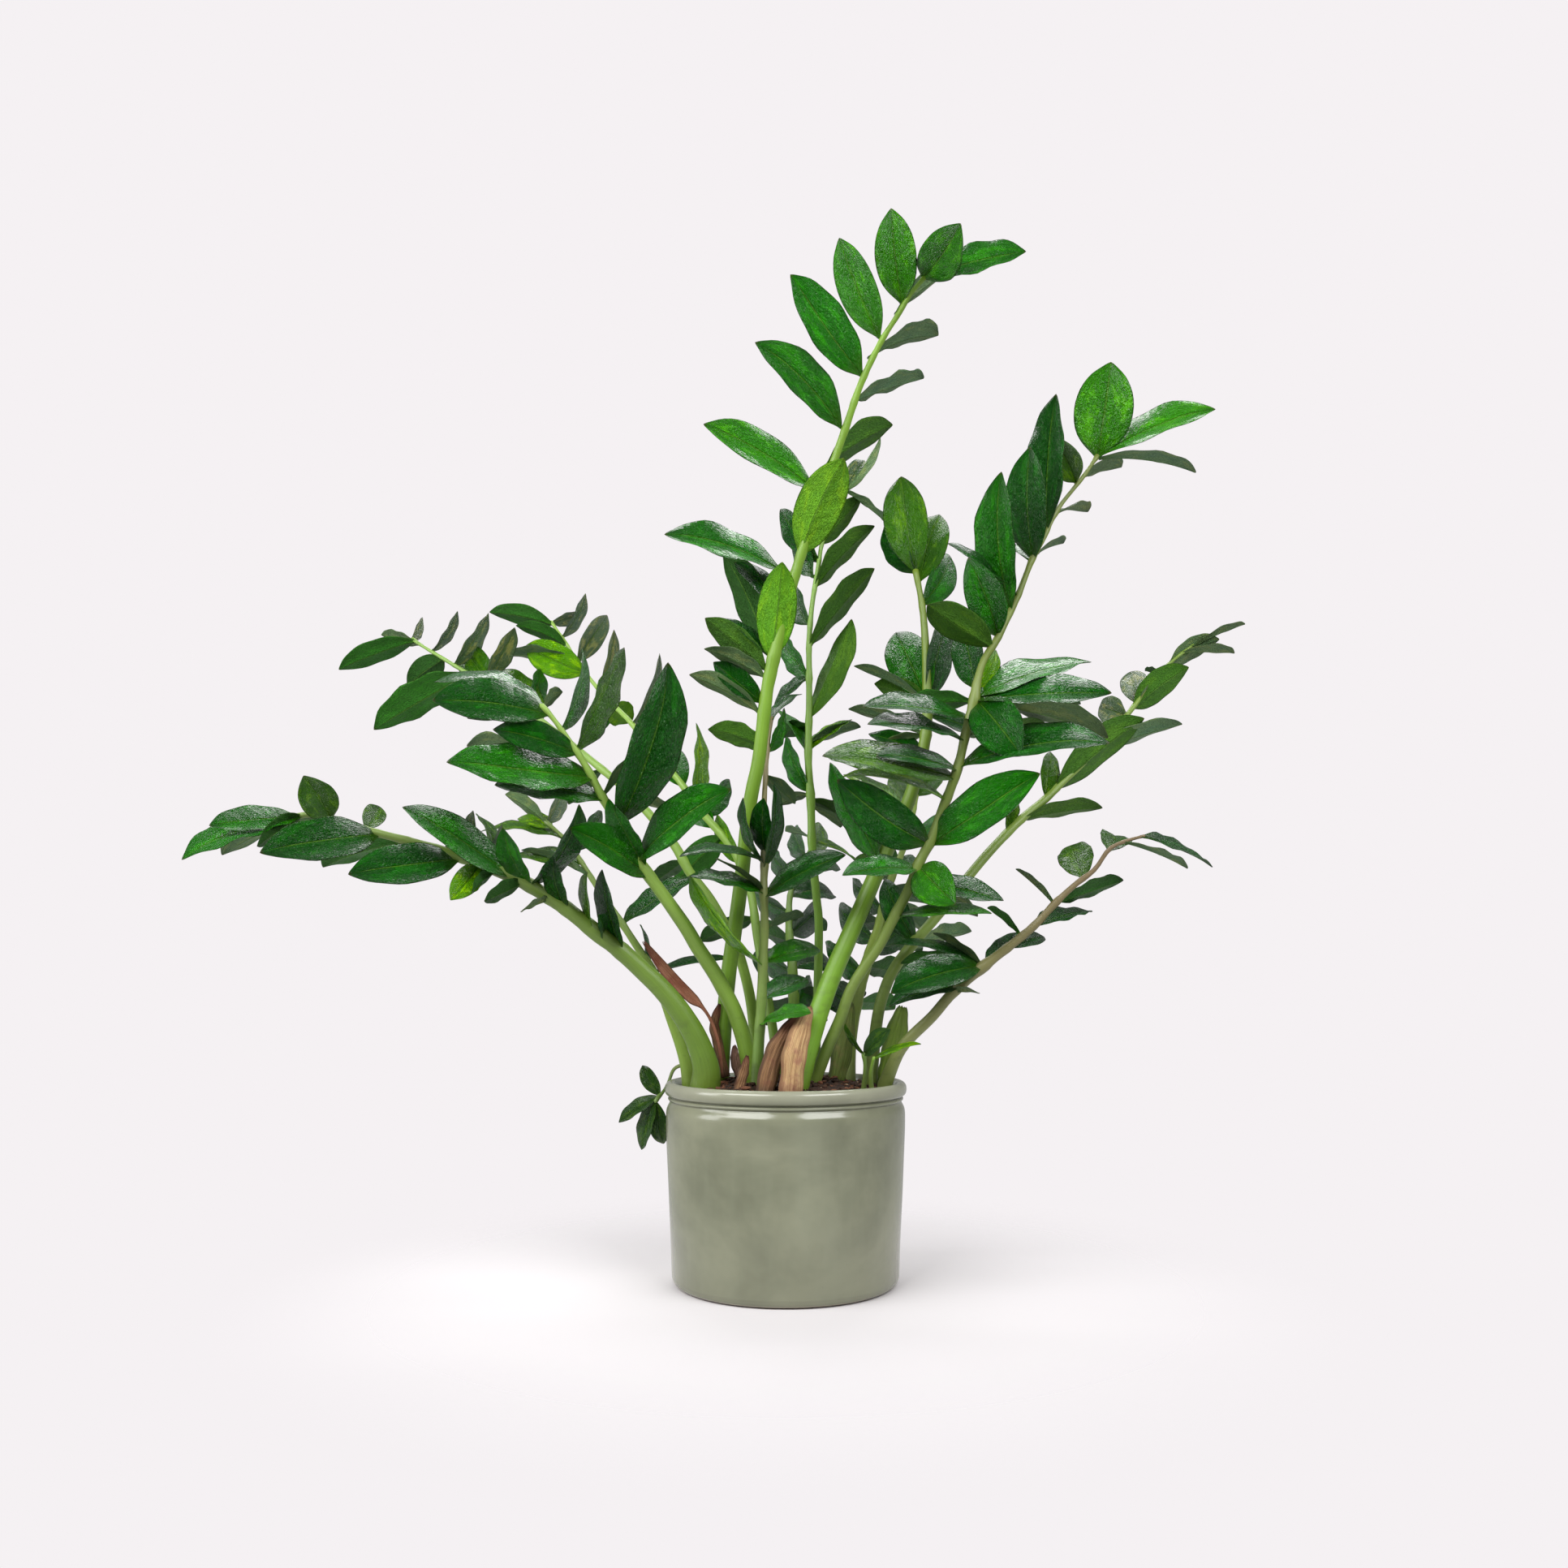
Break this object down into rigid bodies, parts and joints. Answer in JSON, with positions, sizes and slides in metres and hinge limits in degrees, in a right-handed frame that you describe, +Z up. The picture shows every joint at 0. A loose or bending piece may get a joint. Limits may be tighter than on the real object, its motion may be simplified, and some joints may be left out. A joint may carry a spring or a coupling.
{
  "type": "potted zz plant",
  "caption": "Potted ZZ plant: arching pinnate fronds with glossy pointed leaflets rising from soil in a round grey-green glazed pot with a rolled rim.",
  "frame": {"origin": "centre of the pot's flat underside", "axes": "+Z up along the pot's axis, +Y to the back of the plant as it is shown, +X to its right"},
  "size_m": [0.9608, 0.4612, 0.9258],
  "materials": {
    "glaze": "glossy sage grey glaze, paler on the rolled rim and inside",
    "soil": "loose dark brown potting mix of peat and bark with reddish flecks",
    "foliage": "glossy leathery leaflets, mid to dark green above, dull grey green beneath; smooth fleshy green to olive stalks",
    "young_foliage": "smaller, paler and less glossy green leaflets",
    "sheath_tan": "dry papery sheath, tan with brown streaks and a pinkish edge",
    "sheath_brown": "dry papery sheath, dark brown with tan ribs",
    "sheath_salmon": "dry papery sheath, salmon brown",
    "sheath_green": "living sheath leaf, yellow green to olive, satin"
  },
  "bodies": {
    "root": {"pot": "glaze", "soil": "soil", "frond_tall_centre": "foliage", "frond_slim_behind": "foliage", "frond_stout_right": "foliage", "frond_tall_right": "foliage", "frond_right": "foliage", "frond_low_right": "foliage", "frond_far_left": "foliage", "frond_left": "foliage", "frond_low_left": "foliage", "frond_thin_left": "foliage", "frond_slim_centre": "foliage", "frond_back_left": "foliage", "frond_back_centre": "foliage", "frond_back_right": "foliage", "sprig_over_rim": "young_foliage", "shoot_right_a": "young_foliage", "shoot_right_b": "young_foliage", "sheath_front_wide": "sheath_tan", "sheath_front_left": "sheath_brown", "sheath_stout_left": "sheath_salmon", "sheath_left_small": "sheath_brown", "sheath_back_left": "sheath_brown", "sheath_back_mid": "sheath_salmon", "sheath_right_green": "sheath_green", "sheath_mid_green": "sheath_green"}
  },
  "joints": []
}
